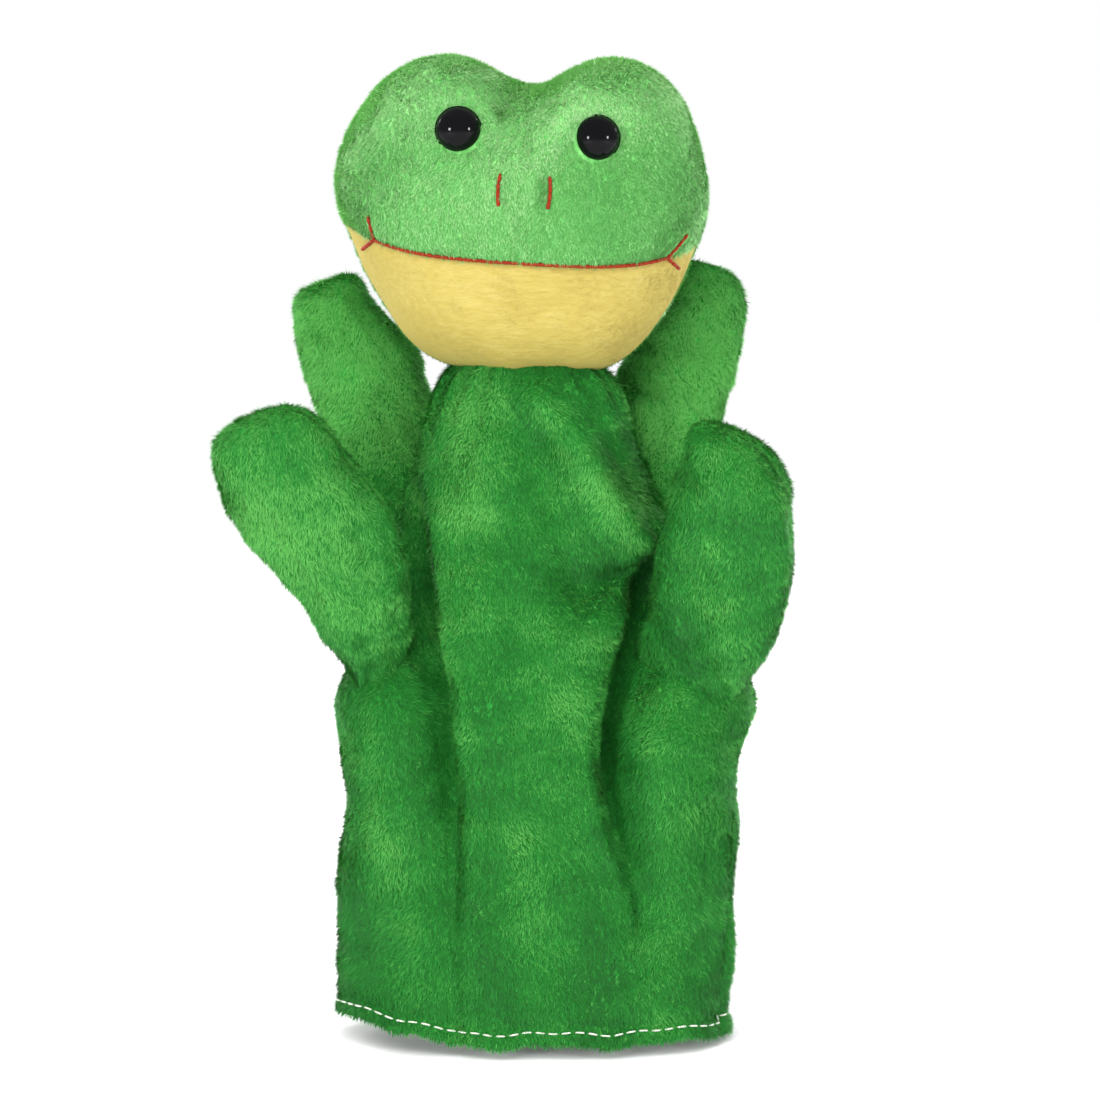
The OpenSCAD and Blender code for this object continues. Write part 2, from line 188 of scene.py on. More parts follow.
def growPile(name, skins, look, material, seed, sparing=None, paintedLight=None):
    # Short pile: one narrow triangle for each tuft. Roots are spread over the grids by area; each tuft
    # leans from the surface by its lift, along the nap direction turned by soft noise.
    rng = np.random.default_rng(seed)
    roots, outs = [], []
    for points, outward in skins:
        a, b, c, d = points[:-1, :-1], points[:-1, 1:], points[1:, 1:], points[1:, :-1]
        area = np.linalg.norm(np.cross(c - a, d - b), axis=-1).ravel() / 2
        count = int(area.sum() * look["perSquareMm"] / mm ** 2)
        cell = rng.choice(area.size, count, p=area / area.sum())
        i, j = np.divmod(cell, points.shape[1] - 1)
        s, t = rng.random((2, count, 1))
        for grid, found in ((points, roots), (outward, outs)):
            low = grid[i, j] * (1 - s) + grid[i, j + 1] * s
            high = grid[i + 1, j] * (1 - s) + grid[i + 1, j + 1] * s
            found.append(low * (1 - t) + high * t)
    root, out = np.concatenate(roots), unit(np.concatenate(outs))
    keep = np.ones(len(root), bool) if sparing is None else rng.random(len(root)) > sparing(root)
    root, out = root[keep], out[keep]
    n = len(root)
    nap = np.broadcast_to(np.array(look["nap"], float), out.shape)
    along = unit(nap - out * (nap * out).sum(1, keepdims=True) + 1e-6)
    turn = 0.35 * drift(root, 26 * mm, seed + 1) + rng.normal(0, look["stray"], n)
    swirl = drift(root, 9 * mm, seed + 2)
    clump = drift(root, 2.6 * mm, seed + 5)
    turn = (turn + 0.22 * swirl + 0.26 * clump)[:, None]
    along = along * np.cos(turn) + np.cross(out, along) * np.sin(turn)
    patch = drift(root, 34 * mm, 3) + 0.6 * drift(root, 15 * mm, 4)
    wild = (rng.random(n) < 0.10) * rng.uniform(10, 42, n)
    lift = np.radians(look["lift"] + 6 * patch + 5 * swirl + 7 * clump + rng.normal(0, 8, n) + wild)[:, None]
    way = along * np.cos(lift) + out * np.sin(lift)
    long = (look["length"] * mm * rng.uniform(0.62, 1.15, n))[:, None]
    side = unit(np.cross(way, out)) * (look["width"] * mm * rng.uniform(0.75, 1.25, n) / 2)[:, None]
    root = root - out * 0.1 * mm
    corners = np.stack([root - side, root + side, root + way * long], 1)
    corners[..., 2] = np.maximum(corners[..., 2], 0.15 * mm)
    # painted light and shade: the tone is made lighter or darker by where the tuft sits, through the
    # function passed in
    paintedLightTone = 0 if paintedLight is None else paintedLight(root)
    tone = 0.5 + paintedLightTone + look["mottle"] * patch + 0.05 * swirl + 0.07 * clump + rng.normal(0, 0.16, n)
    tone = np.clip(tone, 0.02, 0.98)
    maps = np.stack([np.stack([tone - 0.015, 0 * tone], 1), np.stack([tone + 0.015, 0 * tone], 1),
                     np.stack([tone, 0 * tone + 1], 1)], 1)
    mesh = bpy.data.meshes.new(name)
    mesh.vertices.add(3 * n)
    mesh.vertices.foreach_set("co", corners.astype(np.float32).ravel())
    mesh.loops.add(3 * n)
    mesh.loops.foreach_set("vertex_index", np.arange(3 * n, dtype=np.int32))
    mesh.polygons.add(n)
    mesh.polygons.foreach_set("loop_start", 3 * np.arange(n, dtype=np.int32))
    mesh.update(calc_edges=True)
    mesh.uv_layers.new(name="OFBake").data.foreach_set("uv", maps.astype(np.float32).ravel())
    mesh.materials.append(material)
    facing = unit(np.cross(2 * side, way))
    soft = np.repeat(unit(out * look["soft"] + facing * (1 - look["soft"])), 3, axis=0)
    mesh.polygons.foreach_set("use_smooth", np.ones(n, bool))
    mesh.normals_split_custom_set_from_vertices(soft.tolist())
    print("pile", name, n, "tufts")
    return addObject(name, mesh)


def sweep(paths, radius, sides=8):
    # Round threads: a ring of points around each path point, on two directions square to the path.
    paths = np.array(paths, float)
    runs, rings = paths.shape[:2]
    ahead = unit(np.gradient(paths, axis=1))
    aside = unit(np.cross(ahead, np.array([0.31, 0.17, 0.93])))
    up = np.cross(ahead, aside)
    angle = np.linspace(0, 2 * np.pi, sides, endpoint=False)
    shape = np.broadcast_to(np.sqrt(np.maximum(1 - np.linspace(-1, 1, rings) ** 6, 0.02)), (runs, rings))
    ring = paths[:, :, None] + shape[..., None, None] * (
        aside[:, :, None] * (radius * np.cos(angle))[:, None]
        + up[:, :, None] * (radius * np.sin(angle))[:, None])
    faces = gridFaces(rings, sides, wrap=True)
    ends = np.stack([np.arange(sides)[::-1], (rings - 1) * sides + np.arange(sides)])
    faces = (faces[None] + (np.arange(runs) * rings * sides)[:, None, None]).reshape(-1, 4)
    ends = (ends[None] + (np.arange(runs) * rings * sides)[:, None, None]).reshape(-1, sides)
    return ring.reshape(-1, 3), faces, ends


def stitchRun(name, path, outward, look, material):
    # A row of stitches along a path: each is a short thread that rises out of the cloth and dives back.
    path, outward = np.array(path, float), np.array(outward, float)
    reach = np.r_[0, np.cumsum(np.linalg.norm(np.diff(path, axis=0), axis=1))]
    count = max(1, int(round(reach[-1] / (look["pitch"] * mm))))
    middle = (np.arange(count) + 0.5) * reach[-1] / count
    step = np.linspace(-0.5, 0.5, 7) * look["length"] * mm
    where = np.clip(middle[:, None] + step, 0, reach[-1])
    at = np.stack([np.interp(where, reach, path[:, k]) for k in range(3)], -1)
    out = unit(np.stack([np.interp(where, reach, outward[:, k]) for k in range(3)], -1))
    rise = look["high"] - look["dip"] * (2 * step / (look["length"] * mm)) ** 4
    points, faces, ends = sweep(at + out * (rise * mm)[None, :, None], look["radius"] * mm)
    return newObject(name, points, faces, [material], ends.tolist())


class Wire:
    # One output socket; an expression on it adds the Math nodes.

    def __init__(self, shader, socket):
        self.shader, self.socket = shader, socket

    def maths(self, operation, *values):
        return self.shader.node("ShaderNodeMath", {"operation": operation}, *values)

    def __add__(self, other):
        return self.maths("ADD", self, other)

    def __radd__(self, other):
        return self.maths("ADD", other, self)

    def __mul__(self, other):
        return self.maths("MULTIPLY", self, other)

    def __rmul__(self, other):
        return self.maths("MULTIPLY", other, self)

    def __pow__(self, other):
        return self.maths("POWER", self, other)


class Shader:
    # A material under construction, with one method for every node.

    def __init__(self, name):
        self.material = bpy.data.materials.new(name)
        self.material.use_nodes = True
        self.tree = self.material.node_tree
        self.surface = self.tree.nodes["Principled BSDF"]

    def node(self, kind, settings=None, *values, out=0, **named):
        made = self.tree.nodes.new(kind)
        for key, value in (settings or {}).items():
            if key == "stops":
                for spot, (place, colour) in enumerate(value):
                    stops = made.color_ramp.elements
                    stop = stops[spot] if spot < 2 else stops.new(place)
                    stop.position, stop.color = place, (*colour, 1)
            else:
                setattr(made, key, value)
        for key, value in [*enumerate(values), *named.items()]:
            socket = made.inputs[key] if isinstance(key, int) else made.inputs[key.replace("_", " ")]
            if isinstance(value, Wire):
                self.tree.links.new(value.socket, socket)
            else:
                socket.default_value = value
        return Wire(self, made.outputs[out])

    def place(self, scale=(1, 1, 1)):
        at = self.node("ShaderNodeTexCoord", out="Object")
        return self.node("ShaderNodeMapping", None, Vector=at, Scale=scale)

    def noise(self, at, scale, detail=3.0, rough=0.55):
        return self.node("ShaderNodeTexNoise", None, Vector=at, Scale=scale, Detail=detail, Roughness=rough)

    def ramp(self, value, stops):
        return self.node("ShaderNodeValToRGB", {"stops": stops}, value)

    def mix(self, share, one, two):
        made = self.tree.nodes.new("ShaderNodeMix")
        made.data_type = "RGBA"
        for socket, value in zip((made.inputs[0], made.inputs[6], made.inputs[7]), (share, one, two)):
            if isinstance(value, Wire):
                self.tree.links.new(value.socket, socket)
            else:
                socket.default_value = value if isinstance(value, float) else (*value, 1)
        return Wire(self, made.outputs[2])

    def finish(self, colour, rough, height=None, relief=0.3, deep=0.2 * mm, **fixed):
        for name, value in fixed.items():
            self.surface.inputs[name.replace("_", " ")].default_value = value
        for socket, value in (("Base Color", colour), ("Roughness", rough)):
            if isinstance(value, Wire):
                self.tree.links.new(value.socket, self.surface.inputs[socket])
            else:
                self.surface.inputs[socket].default_value = value
        if height is not None:
            bump = self.node("ShaderNodeBump", None, Strength=relief, Distance=deep, Height=height)
            self.tree.links.new(bump.socket, self.surface.inputs["Normal"])
        return self.material


greens = dict(
    head=dict(dark=(0.055, 0.29, 0.050), middle=(0.165, 0.54, 0.135), light=(0.54, 0.91, 0.42)),
    body=dict(dark=(0.006, 0.085, 0.010), middle=(0.022, 0.265, 0.032), light=(0.15, 0.56, 0.11)),
    chin=dict(dark=(0.37, 0.285, 0.062), middle=(0.44, 0.35, 0.086), light=(0.53, 0.44, 0.15)),
)


def clothFinish(name, tones, stretch=(1, 1, 0.35)):
    # The knitted ground under the pile: mottled nap in its three tones, with fine ribs running down.
    s = Shader(name)
    fine = s.noise(s.place(stretch), 900.0, 2.0)
    broad = s.noise(s.place(), 45.0, 2.0)
    blend = fine * 0.55 + broad * 0.45
    colour = s.ramp(blend, [(0.25, tones["dark"]), (0.5, tones["middle"]), (0.85, tones["light"])])
    return s.finish(colour, 0.85 + fine * 0.1, fine, 0.5, 0.4 * mm, Sheen_Weight=0.35, Sheen_Roughness=0.45,
                    Sheen_Tint=(*tones["light"], 1), Specular_IOR_Level=0.2)


def pileFinish(name, tones, shade=0.55):
    # Pile: its tone runs along u and the tuft from root to tip along v of its own map.
    s = Shader(name)
    split = s.node("ShaderNodeSeparateXYZ", None, Vector=s.node("ShaderNodeUVMap", {"uv_map": "OFBake"}))
    tone, tip = split, Wire(s, split.socket.node.outputs[1])
    colour = s.ramp(tone * 0.8 + tip * 0.2,
                    [(0.08, tones["dark"]), (0.55, tones["middle"]), (0.95, tones["light"])])
    rooted = s.mix(tip ** 0.6, tuple(shade * c for c in tones["middle"]), colour)
    return s.finish(rooted, 0.62 + tone * 0.2, None, Sheen_Weight=0.5, Sheen_Roughness=0.35,
                    Sheen_Tint=(*tones["light"], 1), Specular_IOR_Level=0.25)


def threadFinish(name, colour, size=1500.0):
    # Spun thread: fine twisted bands of a lighter and a darker tone, with a soft shine.
    s = Shader(name)
    twist = s.node("ShaderNodeTexWave", {"bands_direction": "DIAGONAL"}, Vector=s.place(), Scale=size,
                   Distortion=1.5, out="Fac")
    worn = s.noise(s.place(), 160.0)
    tone = twist * 0.6 + worn * 0.4
    dark, light = tuple(0.55 * c for c in colour), tuple(min(1, 1.3 * c) for c in colour)
    return s.finish(s.ramp(tone, [(0.2, dark), (0.8, light)]), 0.5 + worn * 0.2, twist, 0.4, 0.1 * mm,
                    Sheen_Weight=0.03, Specular_IOR_Level=0.2)


def plasticFinish(name, colour, rough, coat, **fixed):
    # Moulded plastic: a little mottling in its tone and gloss, as handling leaves.
    s = Shader(name)
    haze = s.noise(s.place(), 220.0)
    smear = s.noise(s.place((1, 1, 0.3)), 90.0)
    tone = s.ramp(haze, [(0.3, tuple(0.75 * c for c in colour)), (0.7, colour)])
    return s.finish(tone, rough + smear * 0.04, haze, 0.02, 0.02 * mm, Coat_Weight=coat,
                    Coat_Roughness=0.03, **fixed)


def fillingFinish():
    # Loose polyester fibre: white, curly and matt.
    s = Shader("polyesterFibre")
    curl = s.noise(s.place(), 420.0, 6.0, 0.7)
    colour = s.ramp(curl, [(0.3, (0.62, 0.62, 0.6)), (0.65, (0.9, 0.9, 0.88))])
    return s.finish(colour, 0.95, curl, 0.8, 1.2 * mm, Sheen_Weight=0.3)


def wovenFinish(name, colour):
    # Plain woven lining: two crossing sets of bands, with slubs.
    s = Shader(name)
    warp = s.node("ShaderNodeTexWave", {"bands_direction": "Z"}, Vector=s.place(), Scale=330.0, out="Fac")
    weft = s.node("ShaderNodeTexWave", {"bands_direction": "X"}, Vector=s.place(), Scale=330.0, out="Fac")
    slub = s.noise(s.place((1, 1, 0.2)), 260.0)
    weave = warp * 0.35 + weft * 0.35 + slub * 0.3
    dark = tuple(0.6 * c for c in colour)
    return s.finish(s.ramp(weave, [(0.2, dark), (0.75, colour)]), 0.85, weave, 0.5, 0.3 * mm)


headCloth = clothFinish("headGround", greens["head"])
bodyCloth = clothFinish("bodyGround", greens["body"])
chinCloth = clothFinish("chinGround", greens["chin"], (0.2, 1, 1))
headPile = pileFinish("headPile", greens["head"])
bodyPile = pileFinish("bodyPile", greens["body"])
chinPile = pileFinish("chinPile", greens["chin"], 0.95)
backing = wovenFinish("plushBacking", (0.035, 0.22, 0.045))
pocketWeave = wovenFinish("pocketWeave", (0.75, 0.76, 0.72))
redThread = threadFinish("redThread", (0.30, 0.024, 0.004))
paleThread = threadFinish("paleThread", (0.72, 0.82, 0.66))
greenThread = threadFinish("greenThread", (0.05, 0.30, 0.06))
eyeBlack = plasticFinish("eyeBlack", (0.004, 0.004, 0.005), 0.05, 0.0, Specular_IOR_Level=0.13)
washerWhite = plasticFinish("washerWhite", (0.75, 0.75, 0.72), 0.4, 0.1)
fibre = fillingFinish()

pileLooks = dict(
    head=dict(perSquareMm=11.0, length=1.75, width=0.33, lift=34, stray=0.26, mottle=0.06, soft=0.5,
              nap=(0, -0.5, -1)),
    body=dict(perSquareMm=10.0, length=2.1, width=0.35, lift=32, stray=0.30, mottle=0.17, soft=0.42,
              nap=(0, -0.2, -1)),
    chin=dict(perSquareMm=10.0, length=0.7, width=0.26, lift=11, stray=0.08, mottle=0.03, soft=0.8,
              nap=(-1, 0, -0.05)),
)
print("finishes made")


view = dict(aim=(7.3, 0, 136.7), across=302.5, away=1100, rise=7)


def makeCamera():
    # looks along +Y from a little above, at the middle of the object
    scene = bpy.context.scene
    data = bpy.data.cameras.new("camera")
    camera = addObject("camera", data)
    aim = Vector(view["aim"]) * mm
    rise = np.radians(view["rise"])
    camera.location = aim + Vector((0, -np.cos(rise), np.sin(rise))) * view["away"] * mm
    camera.rotation_euler = (aim - camera.location).to_track_quat("-Z", "Y").to_euler()
    data.sensor_width = 36
    data.lens = 36 * view["away"] / view["across"]
    data.clip_start = 0.01
    scene.camera = camera
    scene.view_settings.view_transform = "Standard"


studio = dict(
    aim=(0, 0, 0.15),
    lamps=dict(  # place, size and power of each
        softboxLeft=((-0.75, -0.95, 0.30), (0.17, 0.19), 6.5),
        softboxRight=((0.90, -0.80, 0.32), (0.17, 0.19), 5.5),
        rimLeft=((-0.75, 0.70, 0.45), (0.5, 0.5), 7.0),
        rimRight=((0.75, 0.70, 0.45), (0.5, 0.5), 7.0)),
    daylight=2.5,
    daylightSpread=50,
    daylightTilt=(42, 0, -14),
    fill=0.42,
    floorHalf=3.0,
    floorGlow=0.1,
)


def makeLamp(name, place, size, power):
    # a rectangular lamp that faces the puppet
    data = bpy.data.lights.new(name, "AREA")
    data.shape = "RECTANGLE"
    data.size, data.size_y, data.energy = *size, power
    lamp = addObject(name, data)
    lamp.location = place
    lamp.rotation_euler = (Vector(studio["aim"]) - Vector(place)).to_track_quat("-Z", "Y").to_euler()


def makeStudio():
    # two small lamps in front, two large ones behind, soft light from above and a pale floor
    for name, (place, size, power) in studio["lamps"].items():
        makeLamp(name, place, size, power)
    daylight = bpy.data.lights.new("skylight", "SUN")
    daylight.energy, daylight.angle = studio["daylight"], np.radians(studio["daylightSpread"])
    sky = addObject("skylight", daylight)
    sky.visible_glossy = False  # no second highlight in the eyes
    sky.rotation_euler = np.radians(studio["daylightTilt"])
    world = bpy.data.worlds.new("studio")
    bpy.context.scene.world = world
    world.use_nodes = True
    backdrop = world.node_tree.nodes["Background"]
    backdrop.inputs[0].default_value = (1, 1, 1, 1)
    # the backdrop is white, the fill that it gives is softer
    seen = world.node_tree.nodes.new("ShaderNodeLightPath")
    lift = world.node_tree.nodes.new("ShaderNodeMapRange")
    lift.inputs["To Min"].default_value, lift.inputs["To Max"].default_value = studio["fill"], 1.0
    world.node_tree.links.new(seen.outputs["Is Camera Ray"], lift.inputs["Value"])
    world.node_tree.links.new(lift.outputs["Result"], backdrop.inputs[1])
    s = Shader("paleFloor")
    grain = s.noise(s.place(), 30.0)
    tone = s.ramp(grain, [(0.3, (0.94, 0.94, 0.94)), (0.7, (0.97, 0.97, 0.97))])
    material = s.finish(tone, 0.9, Emission_Color=(1, 1, 1, 1),
                        Emission_Strength=studio["floorGlow"])
    half = studio["floorHalf"]
    corners = np.array([(-half, -half, 0), (half, -half, 0), (half, half, 0), (-half, half, 0)])
    floor = newObject("floor", corners, np.array([[0, 1, 2, 3]]), [material])


makeCamera()
makeStudio()
print("camera and lights made")


headPivot = pivot("head_nod")
head = dict(
    rise=43,  # centre above the nod pivot
    roll=3.5,
    seamY=2,
    depthFront=29.6,
    depthBack=28.0,
    trim=1.6,  # the pile stands this far outside the cloth
    lobes=[(-23.5, 21, 21.5), (24, 23, 21.5), (-28.5, 8, 24.3), (27.5, 7, 24), (-20, -6.5, 26.5),
           (20, -8, 27), (-15, -23, 20.6), (17, -23, 20.8), (0, -24.5, 21.6), (-11, 16.5, 21.6),
           (11.5, 16.3, 21.6)],
    mouthZ=-12.2,
    mouthLift=9,
    mouthReach=51,
    eyeX=18.4,
    eyeZ=22,
    neckHole=(15.5, 11.5),
    neckRise=14,  # the hole reaches this far above the nod pivot
)
sewnFace = dict(
    mouthHalf=39.5,
    forkOut=dict(right=(2.0, 3.3), left=(5.0, 3.6)),  # how far out its upper and its lower line go
    forkUp=6.4,
    forkDown=3.0,
    nostrilX=6.5,
    nostrilZ=7,
    nostrilHalf=4.3,
)


def outline(angle):
    # how far the head reaches at an angle: a soft maximum over the circles of head["lobes"]
    total = 0
    for x, z, r in head["lobes"]:
        reach = x * np.cos(angle) + z * np.sin(angle)
        inside = reach ** 2 - x * x - z * z + r * r
        total = total + np.maximum(reach + np.sqrt(np.maximum(inside, 0)), 0.1) ** 16
    return total ** (1 / 16) - head["trim"]


def mouthZ(x):
    # the mouth's curve: flat in the middle and rising with the fourth power towards its corners
    return head["mouthZ"] + head["mouthLift"] * (x / head["mouthReach"]) ** 4


def mouthCorner():
    # the angle at which the mouth's curve meets the outline, found by halving
    low, high = -0.4, 0.3
    for _ in range(40):
        angle = (low + high) / 2
        r = outline(np.array(angle))
        if r * np.sin(angle) < mouthZ(r * np.cos(angle)):
            low = angle
        else:
            high = angle
    return angle


def fullness(x, z):
    # share of the full depth at a point of the front view: 1 in the middle, 0 on the outline
    r = np.hypot(x, z) / outline(np.arctan2(z, x))
    return np.maximum(1 - np.clip(r, 0, 1) ** (2.5 + 1.6 * ease(-12, -34, z)), 0) ** 0.5


def faceRelief(x, z):
    # what stands proud of or sinks into the plain face, in mm towards the front
    relief = 3.2 * bell(x, 0, 13) * bell(z, 0, 13)
    relief = relief - crease(x, z, (9, 36), (-2, 12), 6.5, 4.6)
    for side in (-1, 1):
        gap = np.hypot(x - side * head["eyeX"], z - head["eyeZ"])
        relief = relief - 2.6 * bell(gap, 0, 5.5)
        relief = relief + 1.6 * bell(x, side * 27, 11) * bell(z, 33, 9)
        relief = relief + 1.5 * bell(x, side * 33, 10) * bell(z, -2, 9)
    relief = relief + crease(x, z, (1, 38), (-7, 28), 2.3, 4.6)
    relief = relief + crease(x, z, (-9, 25), (-8, 14), 2.6, 0.9)
    for side in (-1, 1):  # the cloth stays in front of the washers
        near = ease(12.5, 9.5, np.hypot(x - side * head["eyeX"], z - head["eyeZ"]))
        relief = relief + near * np.maximum(0, -0.7 - relief) * (x * side < head["eyeX"])
    upper = ease(-13, -9, z)
    relief = relief - 1.0 * bell(x, 0, 1.3) * upper - 1.3 * bell(z - mouthZ(x), 0, 1.3)
    pinch = bell(np.abs(x) - sewnFace["nostrilX"], 0, 1.4)  # the nostrils draw the cloth in
    relief = relief - 1.5 * pinch * bell(z, sewnFace["nostrilZ"], 4)
    return relief * np.minimum(1, fullness(x, z) * 2)


def headPlace(x, y, z):
    # from the head's own directions into the model: rolled about Y, then raised onto the pivot
    roll = np.radians(head["roll"])
    placed = np.stack([np.cos(roll) * x + np.sin(roll) * z, y, np.cos(roll) * z - np.sin(roll) * x], -1) * mm
    return placed + headPivot + np.array([0, 0, head["rise"] * mm])


def headFront(x, z):
    # the face: a dome of the front's full depth with its relief on it
    y = head["seamY"] - head["depthFront"] * fullness(x, z) - faceRelief(x, z)
    return headPlace(x, y, z)


def facePanel(start, end, rows=130, columns=115):
    # A fan of rays from the middle of the mouth to the outline. The ray along the mouth bends with it:
    # the bend is the mouth's curve minus its chord, and fades out over the panel.
    angle = np.linspace(start, end, columns)[None]
    share = np.sin(np.linspace(0, np.pi / 2, rows))[:, None]
    reach = outline(angle)
    endX, endZ = reach * np.cos(angle), reach * np.sin(angle)
    corner = mouthCorner()
    across = np.abs(np.arctan2(np.sin(angle), np.abs(np.cos(angle))) - corner)
    follow = 1 - ease(0, 0.9, across)
    x = endX * share
    z = head["mouthZ"] + (endZ - head["mouthZ"]) * share
    z = z + follow * head["mouthLift"] * (np.abs(endX) / head["mouthReach"]) ** 4 * (share ** 4 - share)
    return headFront(x, z)


def backPanel(start, end, rows=100, columns=110):
    # A fan of rays from the middle of the back to the outline; its depth is the same dome as the front's.
    angle = np.linspace(start, end, columns)[None]
    share = np.sin(np.linspace(0, np.pi / 2, rows))[:, None]
    reach = outline(angle)
    x, z = reach * np.cos(angle) * share, reach * np.sin(angle) * share
    full = fullness(x, z)
    dart = 1.0 * bell(x, 0, 1.3) * np.minimum(1, full * 2)
    y = head["seamY"] + head["depthBack"] * full - dart - 2.0 * bell(x, 0, 10) * bell(z, 36, 12)
    return headPlace(x, y, z)


def seamTuck(points, normals):
    # the seam round the head: the cloth turns in within about 1.5 mm of it
    y = points[..., 1] / mm - head["seamY"]
    return points - normals * (1.0 * bell(y, 0, 1.6) * mm)[..., None]


def neckOpening(points):
    # keeps the points outside the neck's oval; those just inside move out onto its edge
    a, b = head["neckHole"]
    x, y = points[..., 0] / mm, points[..., 1] / mm
    low = points[..., 2] < headPivot[2] + head["neckRise"] * mm
    oval = np.hypot(x / a, y / b)
    edge = low & (oval < 1) & (oval > 0.90)
    grow = np.where(edge, 1 / np.maximum(oval, 0.1), 1.0)
    moved = points.copy()
    moved[..., 0] *= grow
    moved[..., 1] *= grow
    return moved, ~(low & (oval <= 0.90))


def outwardOf(points, middle):
    # the grid's normals, turned away from a point inside; the end rows, which may be poles, take their
    # neighbours' normals
    normals = gridNormals(points)
    normals[0] = normals[1]
    normals[-1] = normals[-2]
    turn = np.sign((normals * (points - middle)).sum())
    return normals * turn


headMiddle = headPlace(0.0, head["seamY"], 0.0)
eyeSpots = [boxMiddle("eye_right"), boxMiddle("eye_left")]


def lineGap(points, path):
    # distance from each point to the nearest of a path's points, in the front view
    gap = np.full(len(points), 9.0)
    for spot in path:
        gap = np.minimum(gap, np.hypot(points[:, 0] - spot[0], points[:, 2] - spot[2]))
    return gap


def mouthPath(side):
    # along the mouth line from its middle to a corner
    x = side * np.linspace(0.4, sewnFace["mouthHalf"], 60)
    return x, mouthZ(x)


def forkPaths(side):
    # two short lines from the mouth's corner: one up and outwards, one down and outwards
    x0 = side * sewnFace["mouthHalf"]
    z0 = mouthZ(np.array(x0))
    t = np.linspace(0, 1, 12)
    upper, lower = sewnFace["forkOut"]["right" if side < 0 else "left"]
    up = x0 + side * upper * t, z0 + sewnFace["forkUp"] * t - 0.8 * t * (1 - t)
    down = x0 + side * lower * t, z0 - sewnFace["forkDown"] * t
    return up, down


def nostrilPath(side):
    # an upright line that bows outwards as a parabola
    t = np.linspace(-1, 1, 14)
    x = side * (sewnFace["nostrilX"] + 0.4 * (1 - t * t))
    return x, sewnFace["nostrilZ"] + sewnFace["nostrilHalf"] * t


embroidery = {}
for side, word in ((-1, "right"), (1, "left")):
    embroidery["nostril_stitch_" + word] = [nostrilPath(side)]
    embroidery["mouth_stitch_" + word] = [mouthPath(side)]
    embroidery["cheek_stitch_" + word] = list(forkPaths(side))
sewnSpots = np.concatenate([headFront(*line) for lines in embroidery.values() for line in lines])


def spareFace(root):
    # no tufts on the eyes, few on the embroidery
    bare = np.zeros(len(root))
    front = root[:, 1] < 0
    for spot in eyeSpots:
        bare[front & (np.hypot(root[:, 0] - spot[0], root[:, 2] - spot[2]) < 6.2 * mm)] = 1
    near = lineGap(root, sewnSpots)
    return np.maximum(bare, np.where(front & (near < 0.8 * mm), 0.85, 0))


def headPaintedLight(root):
    # painted light and shade: lighter on the bumps and the top, where light falls from above, a painted
    # highlight on the ridge between the eyes, a painted rim light at the rim, and painted shade low on the
    # left cheek
    x, z = (root[:, 0] - headMiddle[0]) / mm, (root[:, 2] - headMiddle[2]) / mm
    ridge = 0.42 * bell(x - 0.55 * (z - 18), 2, 10) * bell(z, 22, 14)
    rim = 0.34 * ease(0.84, 0.99, np.hypot(x, z) / outline(np.arctan2(z, x)))
    cheeks = 0.06 * bell(x, -36, 14) - 0.20 * bell(x, 30, 20) * bell(z, 2, 14)
    return 0.26 * ease(14, 34, z) + ridge + rim + cheeks


def spareHead(root):
    # as spareFace, and no tufts inside the glove's neck
    a, b = head["neckHole"]
    oval = np.hypot(root[:, 0] / (a * mm), root[:, 1] / (b * mm))
    under = (root[:, 2] < headPivot[2] + head["neckRise"] * mm) & (oval < 1.02)
    return np.maximum(spareFace(root), under)


def makeHead():
    # five covers between the head's seams: each is a cloth panel and its pile
    corner = mouthCorner()
    top = np.pi / 2
    panels = dict(
        face_panel_left=(facePanel(top, corner), headCloth, headPile, "head_plush", "head"),
        face_panel_right=(facePanel(top, np.pi - corner), headCloth, headPile, "head_plush", "head"),
        chin_panel=(facePanel(corner, -np.pi - corner, 120, 170), chinCloth, chinPile, "chin_plush", "chin"),
        head_back_left=(backPanel(-top, top), headCloth, headPile, "head_plush", "head"),
        head_back_right=(backPanel(top, 3 * top), headCloth, headPile, "head_plush", "head"),
    )
    for count, (name, (points, cloth, tufts, slot, look)) in enumerate(panels.items()):
        normals = outwardOf(points, headMiddle)
        points = seamTuck(points, normals)
        points, keep = neckOpening(points)
        normals = outwardOf(points, headMiddle)
        panel = sheetOf(name + "_cloth", points, [cloth, backing], normals, keep=keep)
        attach(panel, "head")
        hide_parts(name)
        pile = growPile(name + "_pile", [(points, normals)], pileLooks[look], tufts, 40 + 10 * count,
                        spareHead, headPaintedLight)
        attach(pile, "head")
    print("head covers made")


sewing = dict(
    red=dict(pitch=2.1, length=2.6, radius=0.52, high=0.6, dip=0.45),
    hem=dict(pitch=3.6, length=3.0, radius=0.26, high=0.75, dip=0.8),
    inner=dict(pitch=3.0, length=2.6, radius=0.22, high=-1.0, dip=0.3),
)


def makeEmbroidery():
    # rows of stitches laid on the face along each line, and the hidden seam round the head's outline
    for name, lines in embroidery.items():
        parts = []
        for x, z in lines:
            path = headFront(x, z)
            outward = np.broadcast_to(np.array([0, -1.0, 0]), path.shape)
            parts.append(stitchRun(name + "_thread", path, outward, sewing["red"], redThread))
        thread = joinAs(name + "_thread", parts)
        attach(thread, "head")
        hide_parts(name)
    angle = np.linspace(-np.pi / 2 + 0.5, 3 * np.pi / 2 - 0.5, 260)
    reach = outline(angle) - 1.0
    rim = headPlace(reach * np.cos(angle), head["seamY"] + 0 * angle, reach * np.sin(angle))
    seam = stitchRun("head_seam_stitches", rim, rim - headMiddle, sewing["inner"], greenThread)
    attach(seam, "head")
    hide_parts("head_seam_thread")
    print("embroidery made")


eye = dict(domeRadius=6.0, domeHeight=5.0, rimRadius=6.3, rimHeight=0.7, postRadius=2.2, ribs=5,
           ribDepth=0.35)


